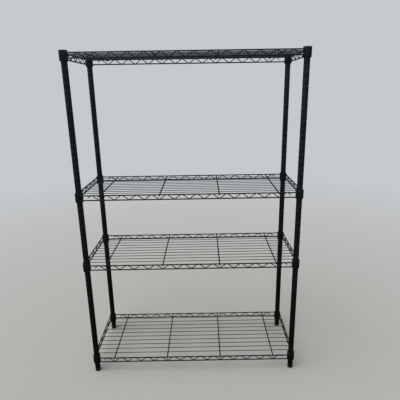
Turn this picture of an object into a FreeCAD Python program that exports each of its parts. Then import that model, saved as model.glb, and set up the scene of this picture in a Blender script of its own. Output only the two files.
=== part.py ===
import FreeCAD, Part
import Sketcher
import math
import os

# A four-level wire shelving unit. Millimetres; the origin is on the floor at the centre of the unit,
# +X is right, +Y is back and +Z is up.
# Four grooved tubes stand on levelling feet. Each shelf is a welded wire mat with a collar at every corner,
# and the collars wedge on split tapered clips that grip a groove of the post.

SIZES = (
    # posts
    ("post_pitch_x", 884.0),            # between post axes, left to right
    ("post_pitch_y", 325.2),            # between post axes, front to back
    ("post_diameter", 23.0),
    ("post_wall", 1.2),
    ("groove_count", 53),
    ("groove_pitch", 25.4),
    ("groove_width", 3.0),
    ("groove_depth", 0.6),
    ("first_groove_height", 29.5),      # above the lower end of the post
    ("post_above_last_groove", 7.7),
    # post caps
    ("cap_thickness", 3.0),
    ("cap_edge", 1.2),
    ("cap_plug_length", 12.0),
    ("cap_plug_wall", 1.6),
    # levelling feet
    ("glide_diameter", 24.0),
    ("glide_top_diameter", 21.0),
    ("glide_height", 8.5),
    ("glide_edge", 1.2),
    ("glide_floor", 2.5),               # solid thickness under the screw's pin
    ("hexagon_across", 17.0),
    ("hexagon_height", 3.9),
    ("screw_diameter", 8.0),
    ("screw_pin_diameter", 6.0),
    ("screw_spare_length", 2.0),        # beyond the upper end of the insert
    ("insert_flange", 2.0),
    ("insert_length", 30.0),
    # clips and collars
    ("clip_height", 35.0),
    ("clip_wall_low", 2.0),
    ("clip_wall_high", 1.0),
    ("clip_bead_height", 28.4),         # bead above the lower end of the clip
    ("clip_gap_angle", 6.0),
    ("collar_seat", 1.0),               # collar above the lower end of the clip
    ("collar_height", 37.0),
    ("collar_wall", 2.1),               # at the lower end, where the bore is widest
    ("collar_low_chamfer", 1.5),
    ("collar_rim_chamfer", 0.8),
    # shelf wires
    ("rail_diameter", 4.7),
    ("rail_below_rim", 9.0),            # top rail axis below the collar rim
    ("rail_inset", 1.45),               # rail face inside the collar's outermost line
    ("truss_height", 19.2),             # between the axes of a long truss's rails
    ("zigzag_diameter", 3.3),
    ("zigzag_bend", 4.0),               # bend radius of the wire axis
    ("zigzag_end", 52.0),               # first bend of a long zigzag from the post axis
    ("long_bend_count", 14),            # upper bends of a front or back zigzag
    ("deck_diameter", 2.4),
    ("deck_count", 10),
    ("deck_edge", 38.2),                # first deck wire from the rail axis
    ("deck_overhang", 1.5),             # deck wire past the end rail's axis
    ("cross_diameter", 5.0),
    ("cross_count", 4),
    ("cross_overhang", 1.0),            # cross wire past the long rail's axis
    # grooves below the one that carries each of the three lower shelves; the top shelf has the last groove
    ("shelf_1_groove_count", 1),
    ("shelf_2_groove_count", 19),
    ("shelf_3_groove_count", 31),
    # fits
    ("press_gap", 0.05),                # pieces pressed or clipped together
    ("running_gap", 0.05),              # round pieces that turn or slide in a bore
    ("wedge_gap", 0.08),                # collar bore round the clip taper
    ("face_gap", 0.3),                  # faces that meet but move apart
    ("rail_gap", 0.4),                  # rail end clear of the collar bore
    ("weld_sink", 0.3),                 # how far crossing wires sink into one another
)

CORNERS = {
    "front_left": (-1, -1),
    "front_right": (1, -1),
    "back_left": (-1, 1),
    "back_right": (1, 1),
}
SHELVES = (1, 2, 3, 4)
UP = FreeCAD.Vector(0, 0, 1)
nodes = []

doc = FreeCAD.newDocument("wire_shelving_unit")
sheet = doc.addObject("Spreadsheet::Sheet", "sizes")
for row, (alias, size) in enumerate(SIZES, start=1):
    sheet.set(f"A{row}", alias)
    sheet.set(f"B{row}", str(size))
    sheet.setAlias(f"B{row}", alias)
doc.recompute()

# Places and radii that several pieces share, as expressions on the sheet
POST_R = "(sizes.post_diameter / 2)"
POST_BORE_R = "(sizes.post_diameter / 2 - sizes.post_wall)"
SCREW_BORE_R = "(sizes.screw_diameter / 2 + sizes.running_gap)"
HEXAGON_Z = "(sizes.glide_height + sizes.face_gap)"
INSERT_Z = f"({HEXAGON_Z} + sizes.hexagon_height + sizes.face_gap)"
POST_Z = f"({INSERT_Z} + sizes.insert_flange)"
POST_LENGTH = (
    "(sizes.first_groove_height + (sizes.groove_count - 1) * sizes.groove_pitch"
    " + sizes.post_above_last_groove)"
)
CLIP_BORE_R = f"({POST_R} + sizes.press_gap)"


def clip_radius(height):
    """The clip's outer radius at a height above its lower end, as an expression."""
    taper = "(sizes.clip_wall_low - sizes.clip_wall_high) / sizes.clip_height"
    return f"({CLIP_BORE_R} + sizes.clip_wall_low - {taper} * ({height}))"


COLLAR_BORE_LOW_R = f"({clip_radius('sizes.collar_seat')} + sizes.wedge_gap)"
COLLAR_BORE_HIGH_R = f"({clip_radius('sizes.collar_seat + sizes.collar_height')} + sizes.wedge_gap)"
COLLAR_R = f"({COLLAR_BORE_LOW_R} + sizes.collar_wall)"
TRUSS_OFFSET = f"({COLLAR_R} - sizes.rail_diameter / 2 - sizes.rail_inset)"
TRUSS_X = f"(sizes.post_pitch_x / 2 + {TRUSS_OFFSET})"
TRUSS_Y = f"(sizes.post_pitch_y / 2 + {TRUSS_OFFSET})"
# a rail stops in the collar's wall, short of the bore
RAIL_STOP = (
    f"sqrt(({COLLAR_BORE_LOW_R} + sizes.rail_gap)^2"
    f" - ({TRUSS_OFFSET} - sizes.rail_diameter / 2)^2)"
)
ZIGZAG_OFFSET = "(sizes.rail_diameter / 2 + sizes.zigzag_diameter / 2 - sizes.weld_sink)"
# the cross wires hang under the long top rails, the deck wires lie on them, the end rails on the deck wires
CROSS_Z = "(sizes.weld_sink - sizes.rail_diameter / 2 - sizes.cross_diameter / 2)"
DECK_Z = f"({CROSS_Z} + sizes.cross_diameter / 2 + sizes.deck_diameter / 2 - sizes.weld_sink)"
END_RAIL_Z = f"({DECK_Z} + sizes.deck_diameter / 2 + sizes.rail_diameter / 2 - sizes.weld_sink)"
LOW_RAIL_Z = "(-sizes.truss_height)"
DECK_PITCH = f"(2 * ({TRUSS_Y} - sizes.deck_edge) / (sizes.deck_count - 1))"
LONG_PITCH = "((sizes.post_pitch_x - 2 * sizes.zigzag_end) / (sizes.long_bend_count - 1))"


def number(expression):
    """The value of an expression on the sheet."""
    return float(sheet.evalExpression(expression))


def whole(alias):
    """A count from the sheet."""
    return int(round(number(f"sizes.{alias}")))


def clip_z(shelf):
    """Height of the lower ends of a shelf's clips, as an expression."""
    groove = "(sizes.groove_count - 1)" if shelf == SHELVES[-1] else f"sizes.shelf_{shelf}_groove_count"
    groove_z = f"{POST_Z} + sizes.first_groove_height + {groove} * sizes.groove_pitch"
    return f"({groove_z} - sizes.clip_bead_height)"


def collar_z(shelf):
    """Height of the lower ends of a shelf's collars, as an expression."""
    return f"({clip_z(shelf)} + sizes.collar_seat)"


def rail_z(shelf):
    """Height of the axis of a shelf's long top rails, as an expression."""
    return f"({collar_z(shelf)} + sizes.collar_height - sizes.rail_below_rim)"


def set_at(piece, x="0", y="0", z="0"):
    """Binds a piece's position to expressions."""
    piece.setExpression("Placement.Base.x", x)
    piece.setExpression("Placement.Base.y", y)
    piece.setExpression("Placement.Base.z", z)
    return piece


def add_profile(body, name, outline):
    """A closed sketch on the body's XZ plane; each corner is a radius and a height, as expressions."""
    sketch = body.newObject("Sketcher::SketchObject", name)
    plane = next(face for face in body.Origin.OriginFeatures if face.Role == "XZ_Plane")
    sketch.AttachmentSupport = [(plane, "")]
    sketch.MapMode = "FlatFace"
    corners = [FreeCAD.Vector(number(radius), number(height), 0) for radius, height in outline]
    count = len(corners)
    for i in range(count):
        sketch.addGeometry(Part.LineSegment(corners[i], corners[(i + 1) % count]), False)
    for i in range(count):
        sketch.addConstraint(Sketcher.Constraint("Coincident", i, 2, (i + 1) % count, 1))
    for i, (radius, height) in enumerate(outline):
        for kind, axis, expression, start in (
            ("DistanceX", -2, radius, corners[i].x),
            ("DistanceY", -1, height, corners[i].y),
        ):
            if expression == "0":
                sketch.addConstraint(Sketcher.Constraint("PointOnObject", i, 1, axis))
                continue
            index = sketch.addConstraint(Sketcher.Constraint(kind, -1, 1, i, 1, start))
            sketch.setExpression(f"Constraints[{index}]", expression)
    return sketch


def turned(name, outline, angle="360"):
    """A body turned about Z from its half outline."""
    body = doc.addObject("PartDesign::Body", name)
    sketch = add_profile(body, f"{name}_outline", outline)
    turn = body.newObject("PartDesign::Revolution", f"{name}_turn")
    turn.Profile = sketch
    turn.ReferenceAxis = (sketch, ["V_Axis"])
    turn.setExpression("Angle", angle)
    return body


def wire(name, diameter, length, along, x="0", y="0", z="0"):
    """A straight round wire, centred on x, y, z and lying along X or Y."""
    rod = doc.addObject("Part::Cylinder", name)
    rod.setExpression("Radius", f"{diameter} / 2")
    rod.setExpression("Height", length)
    if along == "x":
        rod.Placement.Rotation = FreeCAD.Rotation(FreeCAD.Vector(0, 1, 0), 90)
        return set_at(rod, f"{x} - ({length}) / 2", y, z)
    rod.Placement.Rotation = FreeCAD.Rotation(FreeCAD.Vector(1, 0, 0), -90)
    return set_at(rod, x, f"{y} - ({length}) / 2", z)


def zigzag(name, bends, half_pitch, height, sign, turn):
    """A wire bent up and down between two rails; sign 1 makes its first bend an upper one, -1 a lower one.

    Its axis is drawn in the XZ plane with the upper bends' crests at z = 0, and the ends stop at half height.
    Each straight stroke is the inner tangent of two neighbouring bends.
    """
    bend = number("sizes.zigzag_bend")
    rise = height - 2 * bend
    lean = math.atan2(rise, half_pitch) + math.asin(2 * bend / math.hypot(rise, half_pitch))
    side, lift = bend * math.sin(lean), bend * math.cos(lean)
    first = -(bends - 1) / 2 * half_pitch
    stub = (height / 2 - bend + lift) / math.tan(lean)

    def at(u, v):
        return FreeCAD.Vector(u, 0, v)

    edges = []
    last = at(first - side - stub, -height / 2)
    for i in range(bends):
        middle = first + i * half_pitch
        centre_z = -bend if sign > 0 else bend - height
        start = at(middle - side, centre_z + sign * lift)
        crest = at(middle, centre_z + sign * bend)
        end = at(middle + side, centre_z + sign * lift)
        edges.append(Part.LineSegment(last, start).toShape())
        edges.append(Part.Arc(start, crest, end).toShape())
        last = end
        sign = -sign
    tip = at(-first + side + stub, -height / 2)
    edges.append(Part.LineSegment(last, tip).toShape())
    path = Part.Wire(edges)
    section = Part.Circle(path.Vertexes[0].Point, edges[0].tangentAt(0), number("sizes.zigzag_diameter / 2"))
    feature = doc.addObject("Part::Feature", name)
    feature.Shape = path.makePipeShell([Part.Wire(section.toShape())], True, False)
    feature.Placement.Rotation = FreeCAD.Rotation(UP, turn)
    return feature


def sub_part(label, pieces, x="0", y="0", z="0", turn=0):
    """One named sub-part: pieces that are set in place together."""
    node = doc.addObject("Part::Compound", label)
    node.Label = label
    node.Links = pieces
    node.Placement.Rotation = FreeCAD.Rotation(UP, turn)
    nodes.append(node)
    return set_at(node, x, y, z)


def make_post():
    """A steel tube with a rolled groove at every inch, on which the clips grip."""
    body = turned("post", (
        (POST_BORE_R, "0"),
        (POST_R, "0"),
        (POST_R, POST_LENGTH),
        (POST_BORE_R, POST_LENGTH),
    ))
    outer = f"{POST_R} + sizes.groove_depth"
    inner = f"{POST_R} - sizes.groove_depth"
    mouth = "(sizes.groove_width / 2 + sizes.groove_depth)"
    floor = "(sizes.groove_width / 2 - sizes.groove_depth)"
    middle = "sizes.first_groove_height"
    sketch = add_profile(body, "groove_outline", (
        (outer, f"{middle} - {mouth}"),
        (outer, f"{middle} + {mouth}"),
        (inner, f"{middle} + {floor}"),
        (inner, f"{middle} - {floor}"),
    ))
    groove = body.newObject("PartDesign::Groove", "groove")
    groove.Profile = sketch
    groove.ReferenceAxis = (sketch, ["V_Axis"])
    groove.Angle = 360
    row_of_grooves = body.newObject("PartDesign::LinearPattern", "grooves")
    row_of_grooves.Originals = [groove]
    row_of_grooves.Direction = (sketch, ["V_Axis"])
    row_of_grooves.setExpression("Length", "(sizes.groove_count - 1) * sizes.groove_pitch")
    row_of_grooves.setExpression("Occurrences", "sizes.groove_count")
    body.Tip = row_of_grooves
    return body


def make_cap():
    """A plastic cap: a disc the width of the post on a hollow plug."""
    plug_r = f"({POST_BORE_R} - sizes.press_gap)"
    top = "(sizes.cap_plug_length + sizes.cap_thickness)"
    return turned("post_cap", (
        (f"{plug_r} - sizes.cap_plug_wall", "0"),
        (plug_r, "0"),
        (plug_r, "sizes.cap_plug_length"),
        (POST_R, "sizes.cap_plug_length"),
        (POST_R, f"{top} - sizes.cap_edge"),
        (f"{POST_R} - sizes.cap_edge", top),
        ("0", top),
        ("0", "sizes.cap_plug_length"),
        (f"{plug_r} - sizes.cap_plug_wall", "sizes.cap_plug_length"),
    ))


def make_insert():
    """A threaded plug for the post's lower end, with a flange under the tube; the thread is a plain bore."""
    plug_r = f"({POST_BORE_R} - sizes.press_gap)"
    return turned("foot_insert", (
        (SCREW_BORE_R, "0"),
        (POST_R, "0"),
        (POST_R, "sizes.insert_flange"),
        (plug_r, "sizes.insert_flange"),
        (plug_r, "sizes.insert_flange + sizes.insert_length"),
        (SCREW_BORE_R, "sizes.insert_flange + sizes.insert_length"),
    ))


def make_screw():
    """The levelling screw: a hexagon with a stem above it and a pin for the glide below it."""
    hexagon = doc.addObject("Part::Prism", "screw_hexagon")
    hexagon.Polygon = 6
    hexagon.setExpression("Circumradius", "sizes.hexagon_across / sqrt(3)")
    hexagon.setExpression("Height", "sizes.hexagon_height")
    set_at(hexagon, z=HEXAGON_Z)
    stem = doc.addObject("Part::Cylinder", "screw_stem")
    stem.setExpression("Radius", "sizes.screw_diameter / 2")
    stem.setExpression(
        "Height",
        "sizes.hexagon_height + sizes.face_gap + sizes.insert_flange + sizes.insert_length"
        " + sizes.screw_spare_length",
    )
    set_at(stem, z=HEXAGON_Z)
    pin = doc.addObject("Part::Cylinder", "screw_pin")
    pin.setExpression("Radius", "sizes.screw_pin_diameter / 2")
    pin_z = "(sizes.glide_floor + sizes.face_gap)"
    pin.setExpression("Height", f"{HEXAGON_Z} + sizes.hexagon_height - {pin_z}")
    set_at(pin, z=pin_z)
    screw = doc.addObject("Part::MultiFuse", "foot_screw")
    screw.Shapes = [hexagon, stem, pin]
    return screw


def make_glide():
    """The round foot that rests on the floor, with a blind hole in which the screw's pin turns."""
    hole_r = "(sizes.screw_pin_diameter / 2 + sizes.running_gap)"
    return turned("foot_glide", (
        ("0", "0"),
        ("sizes.glide_diameter / 2 - sizes.glide_edge", "0"),
        ("sizes.glide_diameter / 2", "sizes.glide_edge"),
        ("sizes.glide_top_diameter / 2", "sizes.glide_height"),
        (hole_r, "sizes.glide_height"),
        (hole_r, "sizes.glide_floor"),
        ("0", "sizes.glide_floor"),
    ))


def make_clip_half(name, turn):
    """Half of a split plastic sleeve, thicker at the lower end, with a bead for the post's groove."""
    bead = "sizes.clip_bead_height"
    bead_r = f"({CLIP_BORE_R} - sizes.groove_depth)"
    base = "(sizes.groove_width / 2 - sizes.press_gap)"
    crest = "(sizes.groove_width / 2 - sizes.groove_depth - sizes.press_gap)"
    half = turned(name, (
        (CLIP_BORE_R, "0"),
        (clip_radius("0"), "0"),
        (clip_radius("sizes.clip_height"), "sizes.clip_height"),
        (CLIP_BORE_R, "sizes.clip_height"),
        (CLIP_BORE_R, f"{bead} + {base}"),
        (bead_r, f"{bead} + {crest}"),
        (bead_r, f"{bead} - {crest}"),
        (CLIP_BORE_R, f"{bead} - {base}"),
    ), "180 - sizes.clip_gap_angle")
    half.Placement.Rotation = FreeCAD.Rotation(UP, turn)
    return half


def make_collar():
    """A corner collar with a tapered bore that wedges on the clips."""
    return turned("collar", (
        (COLLAR_BORE_LOW_R, "0"),
        (f"{COLLAR_R} - sizes.collar_low_chamfer / 2", "0"),
        (COLLAR_R, "sizes.collar_low_chamfer"),
        (COLLAR_R, "sizes.collar_height - sizes.collar_rim_chamfer"),
        (f"{COLLAR_R} - sizes.collar_rim_chamfer", "sizes.collar_height"),
        (COLLAR_BORE_HIGH_R, "sizes.collar_height"),
    ))


def make_long_truss():
    """The front truss of a shelf: two rails and the zigzag welded to their inner sides."""
    length = f"sizes.post_pitch_x - 2 * {RAIL_STOP}"
    rails = [
        wire("long_top_rail", "sizes.rail_diameter", length, "x", y=f"-{TRUSS_Y}"),
        wire("long_low_rail", "sizes.rail_diameter", length, "x", y=f"-{TRUSS_Y}", z=LOW_RAIL_Z),
    ]
    bends = 2 * whole("long_bend_count") - 1
    bent = zigzag("long_zigzag", bends, number(f"{LONG_PITCH} / 2"), number("sizes.truss_height"), 1, 0)
    set_at(bent, y=f"{ZIGZAG_OFFSET} - {TRUSS_Y}")
    return rails + [bent]


def make_end_truss():
    """The left end truss of a shelf; its top rail lies on the deck wires, with a bend between each two."""
    length = f"sizes.post_pitch_y - 2 * {RAIL_STOP}"
    rails = [
        wire("end_top_rail", "sizes.rail_diameter", length, "y", x=f"-{TRUSS_X}", z=END_RAIL_Z),
        wire("end_low_rail", "sizes.rail_diameter", length, "y", x=f"-{TRUSS_X}", z=LOW_RAIL_Z),
    ]
    height = number(f"{END_RAIL_Z} - {LOW_RAIL_Z}")
    bent = zigzag("end_zigzag", whole("deck_count") - 1, number(DECK_PITCH), height, -1, 90)
    set_at(bent, x=f"{ZIGZAG_OFFSET} - {TRUSS_X}", z=END_RAIL_Z)
    return rails + [bent]


def make_deck():
    """The wires that goods stand on, side by side along the shelf."""
    length = f"2 * ({TRUSS_X} + sizes.deck_overhang)"
    return [
        wire(f"deck_wire_{i}", "sizes.deck_diameter", length, "x",
             y=f"({i} - (sizes.deck_count - 1) / 2) * {DECK_PITCH}", z=DECK_Z)
        for i in range(whole("deck_count"))
    ]


def make_cross_wires():
    """The wires under the deck; each passes over a lower bend of the zigzags, where there is room for it."""
    length = f"2 * ({TRUSS_Y} + sizes.cross_overhang)"
    last_low_bend = whole("long_bend_count") - 2
    count = whole("cross_count")
    low_bends = [round(i * last_low_bend / (count - 1)) for i in range(count)]
    return [
        wire(f"cross_wire_{i}", "sizes.cross_diameter", length, "y",
             x=f"({low_bend} - (sizes.long_bend_count - 2) / 2) * {LONG_PITCH}", z=CROSS_Z)
        for i, low_bend in enumerate(low_bends)
    ]


def at_corners(name, pieces):
    """Copies of the pieces on all four post axes, by the corner's name."""
    copies = {}
    for corner, (side_x, side_y) in CORNERS.items():
        copy = doc.addObject("Part::Compound", f"{name}_{corner}")
        copy.Links = pieces
        set_at(copy, f"{side_x} * sizes.post_pitch_x / 2", f"{side_y} * sizes.post_pitch_y / 2")
        copies[corner] = copy
    return copies


# The uprights: post, cap and foot at each corner
upright = (
    ("post", make_post(), POST_Z),
    ("post_cap", make_cap(), f"{POST_Z} + {POST_LENGTH} - sizes.cap_plug_length"),
    ("foot_insert", make_insert(), INSERT_Z),
    ("foot_screw", make_screw(), "0"),
    ("foot_glide", make_glide(), "0"),
)
for corner, (side_x, side_y) in CORNERS.items():
    for name, piece, height in upright:
        sub_part(
            f"{name}_{corner}", [piece],
            f"{side_x} * sizes.post_pitch_x / 2", f"{side_y} * sizes.post_pitch_y / 2", height,
        )

# The shelves: one set of wires, clips and collars, placed at each level
clips = at_corners("clip_pair", [make_clip_half("clip_half_a", 0), make_clip_half("clip_half_b", 180)])
collars = at_corners("collar_copy", [make_collar()])
long_truss = make_long_truss()
end_truss = make_end_truss()
deck = make_deck()
cross_wires = make_cross_wires()
for shelf in SHELVES:
    level = rail_z(shelf)
    sub_part(f"shelf_{shelf}_left_clips", [clips["front_left"], clips["back_left"]], z=clip_z(shelf))
    sub_part(f"shelf_{shelf}_right_clips", [clips["front_right"], clips["back_right"]], z=clip_z(shelf))
    sub_part(f"shelf_{shelf}_collars", list(collars.values()), z=collar_z(shelf))
    sub_part(f"shelf_{shelf}_front_truss", long_truss, z=level)
    sub_part(f"shelf_{shelf}_back_truss", long_truss, z=level, turn=180)
    sub_part(f"shelf_{shelf}_left_truss", end_truss, z=level)
    sub_part(f"shelf_{shelf}_right_truss", end_truss, z=level, turn=180)
    sub_part(f"shelf_{shelf}_deck_wires", deck, z=level)
    sub_part(f"shelf_{shelf}_cross_wires", cross_wires, z=level)

doc.recompute()
for feature in doc.Objects:
    if "Invalid" in feature.State or "Error" in feature.State:
        raise RuntimeError(f"{feature.Label} failed: {feature.State}")
for node in nodes:
    if node.Shape.isNull() or not node.Shape.isValid():
        raise RuntimeError(f"{node.Label} has no valid shape")

os.makedirs("parts", exist_ok=True)
for node in nodes:
    node.Shape.exportStep(f"parts/{node.Label}.step")
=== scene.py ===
import math

import bmesh
import bpy
from mathutils import Matrix, Vector


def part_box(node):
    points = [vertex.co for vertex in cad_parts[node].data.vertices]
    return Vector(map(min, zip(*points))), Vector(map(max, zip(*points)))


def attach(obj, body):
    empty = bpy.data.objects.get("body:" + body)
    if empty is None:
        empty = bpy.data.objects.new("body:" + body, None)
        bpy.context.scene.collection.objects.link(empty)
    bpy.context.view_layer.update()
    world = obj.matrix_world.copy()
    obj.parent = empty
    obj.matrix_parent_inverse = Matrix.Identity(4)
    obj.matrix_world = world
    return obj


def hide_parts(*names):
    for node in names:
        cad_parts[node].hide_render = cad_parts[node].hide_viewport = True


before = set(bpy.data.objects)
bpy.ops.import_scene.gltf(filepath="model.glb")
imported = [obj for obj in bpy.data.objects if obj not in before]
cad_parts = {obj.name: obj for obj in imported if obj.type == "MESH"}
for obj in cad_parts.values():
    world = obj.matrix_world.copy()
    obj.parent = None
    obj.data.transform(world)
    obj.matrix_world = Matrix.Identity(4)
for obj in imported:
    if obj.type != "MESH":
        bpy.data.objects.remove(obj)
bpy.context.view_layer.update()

# Posts. Four round steel tubes, one at each corner, with a shallow groove rolled in at every inch.
# They are cut square, deburred and powder coated in satin black, and the shelf clips snap into the grooves.
CORNERS = ("front_left", "front_right", "back_left", "back_right")
UP = Vector((0, 0, 1))
TUBE_WALL = 0.0012
GROOVE_PITCH = 0.0254
GROOVE_COUNT = 53
FIRST_GROOVE = 0.0295
GROOVE_DEPTH = 0.0006
GROOVE_HALF_WIDTH = 0.0018
FLANK_STEPS = 3
DEBURRED_EDGE = 0.0003
ROUND_STEPS = 40
MERGE_DISTANCE = 1e-6
SHARP_ANGLE = math.radians(32)
COAT_BLACK = (0.0016, 0.0016, 0.0017, 1.0)
# Painted light: the coat is painted lighter and bluer from the lower height up to the upper one, as light and
# sky reflection from above.
COAT_PAINTED_TOP_LIGHT = (0.0290, 0.0385, 0.0475, 1.0)
COAT_RUBBED = (0.0085, 0.0100, 0.0112, 1.0)
COAT_TOP_LIGHT_LOW = 0.2
COAT_TOP_LIGHT_HIGH = 1.3
COAT_GLOSS = 0.30
COAT_SOIL = 0.45
# House dust and painted highlight: this grey on what faces up, and in the post grooves, also stands for light
# caught there.
DUST_AND_SHEEN_GREY = (0.115, 0.116, 0.114, 1.0)
DUST_SLOPE = 0.2
POST_DUST_AND_SHEEN = 0.45
# The post grooves' share of dust and painted highlight.
GROOVE_DUST_AND_SHEEN = 0.55
FLOOR_SOIL = (0.036, 0.024, 0.015, 1.0)
SOIL_HEIGHT = 0.16
NOISE_LOW = 0.35
NOISE_HIGH = 0.65
MIX_UNDER = 6
MIX_OVER = 7
MIX_RESULT = 2


def add_node(tree, kind, inputs=(), **settings):
    """A shader node with its settings, and its inputs by name or number as values or as links."""
    made = tree.nodes.new("ShaderNode" + kind)
    for setting, value in settings.items():
        setattr(made, setting, value)
    for socket, value in dict(inputs).items():
        if isinstance(value, bpy.types.NodeSocket):
            tree.links.new(value, made.inputs[socket])
        else:
            made.inputs[socket].default_value = value
    return made


def sums(tree, operation, *values):
    """What a sum on one or two values comes to."""
    return add_node(tree, "Math", enumerate(values), operation=operation).outputs["Value"]


def rise(tree, vector):
    """The upward part of a vector: how high a place is, or how far a surface faces up."""
    return add_node(tree, "SeparateXYZ", {"Vector": vector}).outputs["Z"]


def ramp(tree, value, start, end, low, high):
    """A value that runs from low at start to high at end and stays there beyond them."""
    spread = {"Value": value, "From Min": start, "From Max": end, "To Min": low, "To Max": high}
    return add_node(tree, "MapRange", spread).outputs["Result"]


def mottle(tree, place, scale, detail, low=0.0, high=1.0):
    """Soft noise spread from low to high, with lumps about a metre divided by scale across."""
    noise = add_node(tree, "TexNoise", {"Vector": place, "Scale": scale, "Detail": detail})
    return ramp(tree, noise.outputs["Fac"], NOISE_LOW, NOISE_HIGH, low, high)


def laid_over(tree, share, under, over):
    """One colour laid over another by a share from 0 to 1, by the colour sockets of a Mix node."""
    colours = {"Factor": share, MIX_UNDER: under, MIX_OVER: over}
    return add_node(tree, "Mix", colours, data_type="RGBA").outputs[MIX_RESULT]


def soiled(tree, place, colour, dust_and_sheen_share, soil_share):
    """A colour with house dust on what faces up, which on the coat also stands as a painted highlight, and
    soil splashed on what is near the floor.
    """
    facing_up = rise(tree, add_node(tree, "NewGeometry").outputs["Normal"])
    # Dust on what faces up; on the powder coat it also stands as a painted highlight on groove flanks and
    # collar rims.
    settled_and_lit = ramp(tree, facing_up, DUST_SLOPE, 1.0, 0.0, dust_and_sheen_share)
    dust = sums(tree, "MULTIPLY", settled_and_lit, mottle(tree, place, scale=150, detail=4, low=0.3))
    splashed = ramp(tree, rise(tree, place), 0.0, SOIL_HEIGHT, soil_share, 0.0)
    soil = sums(tree, "MULTIPLY", splashed, mottle(tree, place, scale=60, detail=5))
    return laid_over(tree, soil, laid_over(tree, dust, colour, DUST_AND_SHEEN_GREY), FLOOR_SOIL)


def new_finish(name):
    """A material with its node tree, its shader and the coordinates of the piece that wears it."""
    material = bpy.data.materials.new(name)
    material.use_nodes = True
    tree = material.node_tree
    place = add_node(tree, "TexCoord").outputs["Object"]
    return material, tree, tree.nodes["Principled BSDF"], place


def pebbled(tree, shader, height, depth, strength):
    """Gives a shader a fine bumpy skin of some depth."""
    bump = add_node(tree, "Bump", {"Height": height, "Distance": depth, "Strength": strength})
    tree.links.new(bump.outputs["Normal"], shader.inputs["Normal"])


def powder_coat(name, dust_and_sheen_share, extra_dust_and_sheen=None):
    """Baked black powder: satin, with a fine orange peel, rubbed patches, dust and painted highlight on top
    and soil low down.

    It is painted lighter and bluer towards the top, as painted light and painted sky reflection from above.
    A function of the tree and the place may say how much more dust and painted highlight lies there.
    """
    material, tree, shader, place = new_finish(name)
    # Painted light: the coat is painted lighter and bluer the higher it stands.
    painted_top_light = ramp(tree, rise(tree, place), COAT_TOP_LIGHT_LOW, COAT_TOP_LIGHT_HIGH, 0.0, 1.0)
    tone = laid_over(tree, painted_top_light, COAT_BLACK, COAT_PAINTED_TOP_LIGHT)
    tone = laid_over(tree, mottle(tree, place, scale=22, detail=5, high=0.5), tone, COAT_RUBBED)
    if extra_dust_and_sheen:
        tone = laid_over(tree, extra_dust_and_sheen(tree, place), tone, DUST_AND_SHEEN_GREY)
    tree.links.new(soiled(tree, place, tone, dust_and_sheen_share, COAT_SOIL), shader.inputs["Base Color"])
    tree.links.new(mottle(tree, place, scale=90, detail=4, low=0.33, high=0.50), shader.inputs["Roughness"])
    pebbled(tree, shader, mottle(tree, place, scale=900, detail=2), depth=0.00006, strength=0.6)
    shader.inputs["Specular IOR Level"].default_value = COAT_GLOSS
    return material


def turned(bm, outline, axis, closed=False):
    """Turns a half outline of (radius, height) pairs round an upright axis, as on a lathe."""
    verts = [bm.verts.new((axis.x + radius, axis.y, height)) for radius, height in outline]
    ends = zip(verts, verts[1:] + verts[:1]) if closed else zip(verts, verts[1:])
    edges = [bm.edges.new(pair) for pair in ends]
    bmesh.ops.spin(
        bm, geom=verts + edges, cent=axis, axis=UP, angle=math.tau, steps=ROUND_STEPS, use_merge=True)
    bmesh.ops.remove_doubles(bm, verts=bm.verts[:], dist=MERGE_DISTANCE)


def axis_of(node):
    """The foot of the upright axis through the middle of a node."""
    low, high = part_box(node)
    return Vector(((low.x + high.x) / 2, (low.y + high.y) / 2, 0))


def finished(bm, name, material, body, slot, *stands_for):
    """Makes a bmesh a smooth shaded piece that rides on a body and stands for the nodes it replaces."""
    bmesh.ops.recalc_face_normals(bm, faces=bm.faces[:])
    mesh = bpy.data.meshes.new(name)
    bm.to_mesh(mesh)
    bm.free()
    mesh.shade_smooth()
    mesh.set_sharp_from_angle(angle=SHARP_ANGLE)
    mesh.materials.append(material)
    piece = bpy.data.objects.new(name, mesh)
    bpy.context.scene.collection.objects.link(piece)
    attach(piece, body)
    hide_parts(*stands_for)


def grooved_outline(low, high, radius):
    """The tube's half outline from the lower edge of its bore, up the grooved outside, to the upper edge."""
    bore = radius - TUBE_WALL
    outline = [(bore, low), (radius - DEBURRED_EDGE, low), (radius, low + DEBURRED_EDGE)]
    for number in range(GROOVE_COUNT):
        middle = low + FIRST_GROOVE + number * GROOVE_PITCH
        for step in range(-FLANK_STEPS, FLANK_STEPS + 1):
            share = step / FLANK_STEPS
            dip = GROOVE_DEPTH * (1 + math.cos(math.pi * share)) / 2
            outline.append((radius - dip, middle + share * GROOVE_HALF_WIDTH))
    return outline + [(radius, high - DEBURRED_EDGE), (radius - DEBURRED_EDGE, high), (bore, high)]


def in_grooves(tree, place):
    """How much dust and painted highlight lie at a place on a post: most in the middle of a groove, none
    between grooves.
    """
    half_pitch = GROOVE_PITCH / 2
    first_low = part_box("post_front_left")[0].z + FIRST_GROOVE - half_pitch
    along = sums(tree, "MODULO", sums(tree, "SUBTRACT", rise(tree, place), first_low), GROOVE_PITCH)
    off_middle = sums(tree, "ABSOLUTE", sums(tree, "SUBTRACT", along, half_pitch))
    # Dust and a painted highlight: a lighter grey band in each groove, as light caught by its lower flank.
    groove_share = ramp(tree, off_middle, 0.0, GROOVE_HALF_WIDTH, GROOVE_DUST_AND_SHEEN, 0.0)
    return sums(tree, "MULTIPLY", groove_share, mottle(tree, place, scale=40, detail=4, low=0.2))


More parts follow.
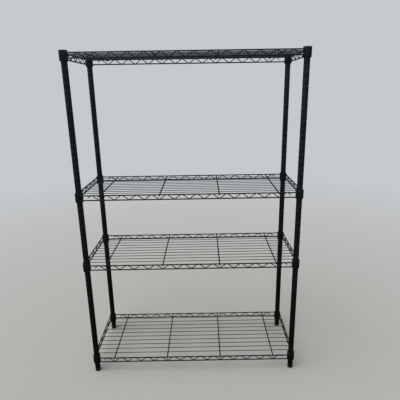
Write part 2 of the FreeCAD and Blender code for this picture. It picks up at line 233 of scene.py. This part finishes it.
post_coat = powder_coat("post_powder_coat", POST_DUST_AND_SHEEN, in_grooves)
for corner in CORNERS:
    node = f"post_{corner}"
    low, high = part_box(node)
    tube = bmesh.new()
    turned(tube, grooved_outline(low.z, high.z, (high.x - low.x) / 2), axis_of(node), closed=True)
    finished(tube, f"grooved_post_{corner}", post_coat, "frame", "post_coat", node)

# Post caps. Moulded black plastic plugs with a low crown, one in the open top of each post.
# A hollow spigot under the disc is pressed into the tube and holds by friction.
CAP_DISC = 0.0030
CAP_CROWN = 0.0005
CAP_EDGE = 0.0009
SPIGOT_RADIUS = 0.01025
SPIGOT_BORE = 0.00865
PLASTIC_BLACK = (0.0085, 0.0085, 0.0085, 1.0)
PLASTIC_CHALKED = (0.0160, 0.0155, 0.0145, 1.0)
PLASTIC_GLOSS = 0.35
PLASTIC_DUST = 0.5


def soften(bm, width, segments, low=-math.inf, high=math.inf):
    """Rounds the sharp edges that lie between two heights."""
    sharp = [
        edge for edge in bm.edges
        if edge.calc_face_angle(0.0) > SHARP_ANGLE and all(low <= vert.co.z <= high for vert in edge.verts)
    ]
    bmesh.ops.bevel(bm, geom=sharp, offset=width, segments=segments, profile=0.5, affect="EDGES", material=-1)


def moulded_plastic(name, grain, soil_share):
    """Moulded black plastic: a fine spark-eroded grain, a chalky bloom in patches, dust on top."""
    material, tree, shader, place = new_finish(name)
    bloom = mottle(tree, place, scale=70, detail=5, high=0.8)
    tone = laid_over(tree, bloom, PLASTIC_BLACK, PLASTIC_CHALKED)
    tree.links.new(soiled(tree, place, tone, PLASTIC_DUST, soil_share), shader.inputs["Base Color"])
    tree.links.new(mottle(tree, place, scale=240, detail=3, low=0.42, high=0.60), shader.inputs["Roughness"])
    pebbled(tree, shader, mottle(tree, place, scale=grain, detail=2), depth=0.00004, strength=0.5)
    shader.inputs["Specular IOR Level"].default_value = PLASTIC_GLOSS
    return material


cap_plastic = moulded_plastic("cap_moulded_plastic", grain=1800, soil_share=0.0)
for corner in CORNERS:
    node = f"post_cap_{corner}"
    low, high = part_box(node)
    shoulder = high.z - CAP_DISC
    radius = (high.x - low.x) / 2
    cap = bmesh.new()
    turned(cap, [
        (0, shoulder), (SPIGOT_BORE, shoulder), (SPIGOT_BORE, low.z), (SPIGOT_RADIUS, low.z),
        (SPIGOT_RADIUS, shoulder), (radius, shoulder),
        (radius, high.z - CAP_CROWN), (radius / 2, high.z - CAP_CROWN / 4), (0, high.z),
    ], axis_of(node))
    soften(cap, CAP_EDGE, segments=4, low=shoulder + CAP_EDGE)
    finished(cap, f"crowned_cap_{corner}", cap_plastic, "frame", "cap_plastic", node)


# Foot inserts. Moulded nylon plugs pressed into the lower ends of the posts, with a thin flange outside.
# Each has a threaded bore down its middle that a levelling screw runs in.
def dress(node, material):
    """Gives its finish to a CAD node that is left showing."""
    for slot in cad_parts[node].material_slots:
        slot.material = material


insert_plastic = moulded_plastic("insert_moulded_plastic", grain=1500, soil_share=0.5)
for corner in CORNERS:
    dress(f"foot_insert_{corner}", insert_plastic)

# Levelling screws. Zinc plated steel: a rolled M8 thread above a hexagon that a spanner or fingers turn,
# and a short pin below it that snaps into the glide.
HEXAGON_FLATS = 0.0170
HEXAGON_LOW = 0.0088
HEXAGON_HIGH = 0.0127
HEXAGON_EDGE = 0.0005
HEXAGON_TURN = math.radians(90)
THREAD_CREST = 0.00398
THREAD_ROOT = 0.00335
THREAD_PITCH = 0.0015
THREAD_SIDES = 20
RINGS_PER_TURN = 8
CREST_SHARE = 0.12
FLANK_SHARE = 0.30
PIN_RADIUS = 0.0030
PIN_GAP = 0.0004
ZINC_BRIGHT = (0.50, 0.50, 0.49, 1.0)
ZINC_DULL = (0.26, 0.25, 0.23, 1.0)
ZINC_DUST = 0.2
ZINC_SOIL = 0.5
TURNING_MARKS = (60, 60, 2400)


def zinc_steel(name):
    """Zinc plated steel: grey metal, bright on the whole, with dull clouds and fine turning marks."""
    material, tree, shader, place = new_finish(name)
    tone = laid_over(tree, mottle(tree, place, scale=180, detail=5), ZINC_BRIGHT, ZINC_DULL)
    tree.links.new(soiled(tree, place, tone, ZINC_DUST, ZINC_SOIL), shader.inputs["Base Color"])
    tree.links.new(mottle(tree, place, scale=400, detail=3, low=0.28, high=0.48), shader.inputs["Roughness"])
    squeezed = add_node(tree, "Mapping", {"Vector": place, "Scale": TURNING_MARKS}).outputs["Vector"]
    pebbled(tree, shader, mottle(tree, squeezed, scale=1, detail=1), depth=0.00002, strength=0.4)
    shader.inputs["Metallic"].default_value = 1.0
    return material


def round_bar(bm, low, high, radius, axis, sides):
    """An upright round bar with flat ends, whose vertices it returns."""
    middle = Matrix.Translation(axis + UP * ((low + high) / 2))
    bar = bmesh.ops.create_cone(
        bm, cap_ends=True, segments=sides, radius1=radius, radius2=radius, depth=high - low, matrix=middle)
    return bar["verts"]


def threaded(bm, low, high, axis):
    """An upright stem with a right-hand thread that runs out at both ends."""
    stem = set(round_bar(bm, low, high, THREAD_ROOT, axis, THREAD_SIDES))
    upright = [
        edge for edge in bm.edges
        if stem.issuperset(edge.verts) and abs(edge.verts[0].co.z - edge.verts[1].co.z) > THREAD_PITCH
    ]
    rings = round((high - low) / THREAD_PITCH * RINGS_PER_TURN)
    cut = bmesh.ops.subdivide_edges(bm, edges=upright, cuts=rings, use_grid_fill=True)
    for vert in [part for part in cut["geom_inner"] if isinstance(part, bmesh.types.BMVert)]:
        spoke = Vector((vert.co.x - axis.x, vert.co.y - axis.y, 0))
        turn = math.atan2(spoke.y, spoke.x) / math.tau
        off_crest = abs(((vert.co.z - low) / THREAD_PITCH - turn) % 1 - 0.5)
        lift = min(max((CREST_SHARE + FLANK_SHARE - off_crest) / FLANK_SHARE, 0), 1)
        run_out = min((vert.co.z - low) / THREAD_PITCH, (high - vert.co.z) / THREAD_PITCH, 1)
        vert.co += spoke.normalized() * (THREAD_CREST - THREAD_ROOT) * lift * run_out


screw_steel = zinc_steel("screw_zinc_steel")
for corner in CORNERS:
    node = f"foot_screw_{corner}"
    low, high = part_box(node)
    axis = axis_of(node)
    screw = bmesh.new()
    hexagon = round_bar(screw, HEXAGON_LOW, HEXAGON_HIGH, HEXAGON_FLATS / math.sqrt(3), axis, sides=6)
    bmesh.ops.rotate(screw, verts=hexagon, cent=axis, matrix=Matrix.Rotation(HEXAGON_TURN, 3, "Z"))
    soften(screw, HEXAGON_EDGE, segments=3)
    round_bar(screw, low.z + PIN_GAP, HEXAGON_LOW + HEXAGON_EDGE, PIN_RADIUS, axis, THREAD_SIDES)
    threaded(screw, HEXAGON_HIGH - HEXAGON_EDGE, high.z, axis)
    finished(screw, f"levelling_screw_{corner}", screw_steel, f"screw_{corner}", "screw_steel", node)

# Glides. Round feet of moulded black plastic that the unit stands on, a little wider at the floor.
# Each snaps onto the pin of its levelling screw and stays still while the screw turns.
GLIDE_TOP_RADIUS = 0.0105
GLIDE_LOW_EDGE = 0.0012
GLIDE_TOP_EDGE = 0.0008
PIN_HOLE_RADIUS = 0.00305
PIN_HOLE_FLOOR = 0.0025
glide_plastic = moulded_plastic("glide_moulded_plastic", grain=1100, soil_share=0.8)
for corner in CORNERS:
    node = f"foot_glide_{corner}"
    low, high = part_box(node)
    radius = (high.x - low.x) / 2
    rim_top = low.z + GLIDE_LOW_EDGE
    glide = bmesh.new()
    turned(glide, [
        (0, low.z), (radius - GLIDE_LOW_EDGE, low.z), (radius, rim_top), (GLIDE_TOP_RADIUS, high.z),
        (PIN_HOLE_RADIUS, high.z), (PIN_HOLE_RADIUS, PIN_HOLE_FLOOR), (0, PIN_HOLE_FLOOR),
    ], axis_of(node))
    soften(glide, GLIDE_TOP_EDGE, segments=4, low=high.z - MERGE_DISTANCE)
    soften(glide, GLIDE_LOW_EDGE / 2, segments=3, high=rim_top + MERGE_DISTANCE)
    finished(glide, f"round_glide_{corner}", glide_plastic, f"glide_{corner}", "glide_plastic", node)

# Shelf clips. Tapered split sleeves of moulded plastic, two halves round each post at each shelf.
# A bead inside each half snaps into a post groove, and the shelf's weight wedges its collar on the taper.
SHELVES = (1, 2, 3, 4)
clip_plastic = moulded_plastic("clip_moulded_plastic", grain=1500, soil_share=0.3)
for shelf in SHELVES:
    for side in ("left", "right"):
        dress(f"shelf_{shelf}_{side}_clips", clip_plastic)

# Collars. Short tapered steel sleeves at the four corners of each shelf that slide down over the clips.
# They are drawn from tube with rounded lips, welded to the rails and powder coated with the shelf.
COLLAR_RADIUS = 0.015701
COLLAR_LOW_BORE = 0.013601
COLLAR_HIGH_BORE = 0.012544
COLLAR_LOW_CHAMFER = 0.0015
COLLAR_LOW_INSET = 0.00075
COLLAR_RIM = 0.0008
LIP_EDGE = 0.0004
# The shelf's dust on top also stands as a painted highlight on the collar rims.
SHELF_DUST_AND_SHEEN = 0.35
shelf_coat = powder_coat("shelf_powder_coat", SHELF_DUST_AND_SHEEN)
for shelf in SHELVES:
    node = f"shelf_{shelf}_collars"
    low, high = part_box(node)
    collars = bmesh.new()
    for corner in CORNERS:
        turned(collars, [
            (COLLAR_LOW_BORE, low.z), (COLLAR_RADIUS - COLLAR_LOW_INSET, low.z),
            (COLLAR_RADIUS, low.z + COLLAR_LOW_CHAMFER), (COLLAR_RADIUS, high.z - COLLAR_RIM),
            (COLLAR_RADIUS - COLLAR_RIM, high.z), (COLLAR_HIGH_BORE, high.z),
        ], axis_of(f"post_{corner}"), closed=True)
    soften(collars, LIP_EDGE, segments=3)
    finished(collars, f"shelf_{shelf}_lipped_collars", shelf_coat, f"shelf_{shelf}", "collar_coat", node)

# Trusses. Two straight rails with a zigzag wire welded between them, one along each edge of a shelf.
# The rails are butted and welded to the collars, and the truss keeps the thin deck from sagging.
for shelf in SHELVES:
    for edge in ("front", "back", "left", "right"):
        dress(f"shelf_{shelf}_{edge}_truss", shelf_coat)

# Cross wires. Four thicker wires under each deck, from the front rail to the back rail.
# They are cut to length, spot welded to both top rails, and carry the deck wires.
CROSS_DIAMETER = 0.0050
CROSS_COUNT = 4
WIRE_SIDES = 12
CUT_TIP = 0.0004
X = 0
Y = 1


def wire_row(bm, low, high, diameter, count, along, across):
    """A row of straight wires that fills a box, each with a small rounded tip at both ends."""
    step = (high[across] - low[across] - diameter) / (count - 1)
    to_axis = UP.rotation_difference(Matrix.Identity(3)[along]).to_matrix().to_4x4()
    for number in range(count):
        middle = (low + high) / 2
        middle[across] = low[across] + diameter / 2 + number * step
        bmesh.ops.create_cone(
            bm, cap_ends=True, segments=WIRE_SIDES, radius1=diameter / 2, radius2=diameter / 2,
            depth=high[along] - low[along], matrix=Matrix.Translation(middle) @ to_axis)
    tips = [
        edge for edge in bm.edges
        if abs(edge.verts[0].co[along] - edge.verts[1].co[along]) < MERGE_DISTANCE
    ]
    bmesh.ops.bevel(bm, geom=tips, offset=CUT_TIP, segments=2, profile=0.5, affect="EDGES", material=-1)


for shelf in SHELVES:
    node = f"shelf_{shelf}_cross_wires"
    cross_wires = bmesh.new()
    wire_row(cross_wires, *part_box(node), CROSS_DIAMETER, CROSS_COUNT, along=Y, across=X)
    finished(cross_wires, f"shelf_{shelf}_cross_rods", shelf_coat, f"shelf_{shelf}", "wire_coat", node)

# Deck wires. Ten thin straight wires along each shelf, which make the surface that things stand on.
# They lie on the cross wires and under the end rails, and are spot welded at every crossing.
DECK_DIAMETER = 0.0024
DECK_COUNT = 10
for shelf in SHELVES:
    node = f"shelf_{shelf}_deck_wires"
    deck_wires = bmesh.new()
    wire_row(deck_wires, *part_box(node), DECK_DIAMETER, DECK_COUNT, along=X, across=Y)
    finished(deck_wires, f"shelf_{shelf}_deck_rods", shelf_coat, f"shelf_{shelf}", "wire_coat", node)

# Welds. Spot welds where wires cross, and short beads where the rails run into the collars.
# The powder coat runs over them, so each shows as a small smooth lump of the same black.
RAIL_DIAMETER = 0.0047
END_RAIL_RISE = 0.0021
TRUSS_HEIGHT = 0.0192
ZIGZAG_PITCH = 0.060
LONG_CRESTS = 14
ZIGZAG_INSET = 0.0022
SPOT_DEPTH = 0.0022
END_SPOT_DEPTH = 0.0001
SPOT_SIZE = Vector((0.0022, 0.0015, 0.0008))
CROSS_SPOT_SIZE = Vector((0.0027, 0.0026, 0.0010))
ZIGZAG_SPOT_SIZE = Vector((0.0040, 0.0011, 0.0013))
BEAD_SIZE = Vector((0.0045, 0.0028, 0.0028))
BEAD_REACH = 0.0110
LUMP_SIDES = 8
LUMP_RINGS = 5


def lump(bm, x, y, z, size):
    """One smooth lump of weld, whose size is how far it reaches each way from its middle."""
    stretch = Matrix.Translation((x, y, z)) @ Matrix.Diagonal((*size, 1))
    bmesh.ops.create_uvsphere(bm, u_segments=LUMP_SIDES, v_segments=LUMP_RINGS, radius=1, matrix=stretch)


def end_size(size):
    """A lump's size for the end trusses, whose wires run front to back."""
    return Vector((size.y, size.x, size.z))


def row(count, pitch):
    """Places of evenly spaced things either side of the middle."""
    return [(number - (count - 1) / 2) * pitch for number in range(count)]


def middles(node, count, diameter, across):
    """Places across a row of wires that fills a node's box."""
    low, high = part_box(node)
    return row(count, (high[across] - low[across] - diameter) / (count - 1))


for shelf in SHELVES:
    front_low, front_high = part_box(f"shelf_{shelf}_front_truss")
    left_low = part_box(f"shelf_{shelf}_left_truss")[0]
    rail_y = -front_low.y - RAIL_DIAMETER / 2
    rail_x = -left_low.x - RAIL_DIAMETER / 2
    rail_z = front_high.z - RAIL_DIAMETER / 2
    spot_z = rail_z - SPOT_DEPTH
    long_rails = (rail_z, rail_z - TRUSS_HEIGHT)
    end_rails = (rail_z + END_RAIL_RISE, rail_z - TRUSS_HEIGHT)
    long_zigzag_y = rail_y - ZIGZAG_INSET
    end_zigzag_x = rail_x - ZIGZAG_INSET
    cross_x = middles(f"shelf_{shelf}_cross_wires", CROSS_COUNT, CROSS_DIAMETER, X)
    deck_y = middles(f"shelf_{shelf}_deck_wires", DECK_COUNT, DECK_DIAMETER, Y)
    between_wires = [(near + far) / 2 for near, far in zip(deck_y, deck_y[1:])]
    welds = bmesh.new()
    for y in deck_y:
        for x in cross_x:
            lump(welds, x, y, spot_z, SPOT_SIZE)
        for x in (-rail_x, rail_x):
            lump(welds, x, y, rail_z - END_SPOT_DEPTH, SPOT_SIZE)
    for side in (-1, 1):
        for x in cross_x:
            lump(welds, x, side * rail_y, spot_z, CROSS_SPOT_SIZE)
        for z, count in zip(long_rails, (LONG_CRESTS, LONG_CRESTS - 1)):
            for x in row(count, ZIGZAG_PITCH):
                lump(welds, x, side * long_zigzag_y, z, ZIGZAG_SPOT_SIZE)
        for z, bends in zip(end_rails, (between_wires[1::2], between_wires[::2])):
            for y in bends:
                lump(welds, side * end_zigzag_x, y, z, end_size(ZIGZAG_SPOT_SIZE))
    for corner in CORNERS:
        post = axis_of(f"post_{corner}")
        side_x = math.copysign(1, post.x)
        side_y = math.copysign(1, post.y)
        for z in long_rails:
            lump(welds, post.x - side_x * BEAD_REACH, side_y * rail_y, z, BEAD_SIZE)
        for z in end_rails:
            lump(welds, side_x * rail_x, post.y - side_y * BEAD_REACH, z, end_size(BEAD_SIZE))
    finished(welds, f"shelf_{shelf}_welds", shelf_coat, f"shelf_{shelf}", "wire_coat")

# Floor, light and camera. A plain pale floor fades into a plain pale surround, under a large soft key light
# from the upper left and a surround that is bright overhead. The floor shows dimmer in the coat's gloss than
# it is, and a little contrast in the view keeps the thin wires dark.
FLOOR_REACH = 60.0
FLOOR_NEAR = (0.60, 0.585, 0.56, 1.0)
FLOOR_FAR = (0.70, 0.72, 0.74, 1.0)
FLOOR_FADE_START = 0.8
FLOOR_FADE_END = 4.0
MIRRORED_SHARE = 0.2
SURROUND = (0.566, 0.588, 0.609, 1.0)
FILL_LOW = (0.06, 0.06, 0.062, 1.0)
FILL_HIGH = (0.60, 0.61, 0.62, 1.0)
KEY_FROM = Vector((-0.50, -0.30, 0.82))
KEY_STRENGTH = 1.5
KEY_SPREAD = math.radians(60)
CAMERA_PLACE = Vector((0.05916, -1.63169, 1.22413))
CAMERA_TURN = math.radians(-0.131)
CAMERA_TILT = math.radians(73.879)
CAMERA_ROLL = math.radians(-0.902)
CAMERA_LENS = 34.153
CAMERA_SHIFT_X = -0.0127
CAMERA_SHIFT_Y = 0.00285
CAMERA_SENSOR = 36.0
VIEW_EXPOSURE = 0.115
VIEW_GAMMA = 0.85

floor_finish, tree, shader, place = new_finish("pale_floor")
reach = add_node(tree, "VectorMath", {0: place}, operation="LENGTH").outputs["Value"]
fade = ramp(tree, reach, FLOOR_FADE_START, FLOOR_FADE_END, 0.0, 1.0)
mirrored = add_node(tree, "LightPath").outputs["Is Glossy Ray"]
dimmed = ramp(tree, mirrored, 0.0, 1.0, 1.0, MIRRORED_SHARE)
pale = laid_over(tree, fade, FLOOR_NEAR, FLOOR_FAR)
shown = add_node(tree, "VectorMath", {0: pale, "Scale": dimmed}, operation="SCALE").outputs["Vector"]
tree.links.new(shown, shader.inputs["Base Color"])
shader.inputs["Roughness"].default_value = 1.0
shader.inputs["Specular IOR Level"].default_value = 0.0
sheet = bmesh.new()
bmesh.ops.create_grid(sheet, x_segments=1, y_segments=1, size=FLOOR_REACH)
floor_mesh = bpy.data.meshes.new("pale_floor")
sheet.to_mesh(floor_mesh)
sheet.free()
floor_mesh.materials.append(floor_finish)
floor = bpy.data.objects.new("pale_floor", floor_mesh)
bpy.context.scene.collection.objects.link(floor)

surround = bpy.data.worlds.new("pale_surround")
surround.use_nodes = True
tree = surround.node_tree
overhead = ramp(tree, rise(tree, add_node(tree, "TexCoord").outputs["Generated"]), 0.0, 1.0, 0.0, 1.0)
fill = laid_over(tree, overhead, FILL_LOW, FILL_HIGH)
seen = add_node(tree, "LightPath").outputs["Is Camera Ray"]
tree.links.new(laid_over(tree, seen, fill, SURROUND), tree.nodes["Background"].inputs["Color"])
bpy.context.scene.world = surround
view = bpy.context.scene.view_settings
view.view_transform = "Standard"
view.exposure = VIEW_EXPOSURE
view.gamma = VIEW_GAMMA

key_data = bpy.data.lights.new("soft_key_light", "SUN")
key_data.energy = KEY_STRENGTH
key_data.angle = KEY_SPREAD
key = bpy.data.objects.new("soft_key_light", key_data)
key.rotation_euler = (-KEY_FROM).to_track_quat("-Z", "Y").to_euler()
bpy.context.scene.collection.objects.link(key)

camera_data = bpy.data.cameras.new("photo_camera")
camera_data.lens = CAMERA_LENS
camera_data.sensor_width = CAMERA_SENSOR
camera_data.shift_x = CAMERA_SHIFT_X
camera_data.shift_y = CAMERA_SHIFT_Y
camera = bpy.data.objects.new("photo_camera", camera_data)
camera.matrix_world = (
    Matrix.Translation(CAMERA_PLACE) @ Matrix.Rotation(CAMERA_TURN, 4, "Z")
    @ Matrix.Rotation(CAMERA_TILT, 4, "X") @ Matrix.Rotation(CAMERA_ROLL, 4, "Z")
)
bpy.context.scene.collection.objects.link(camera)
bpy.context.scene.camera = camera
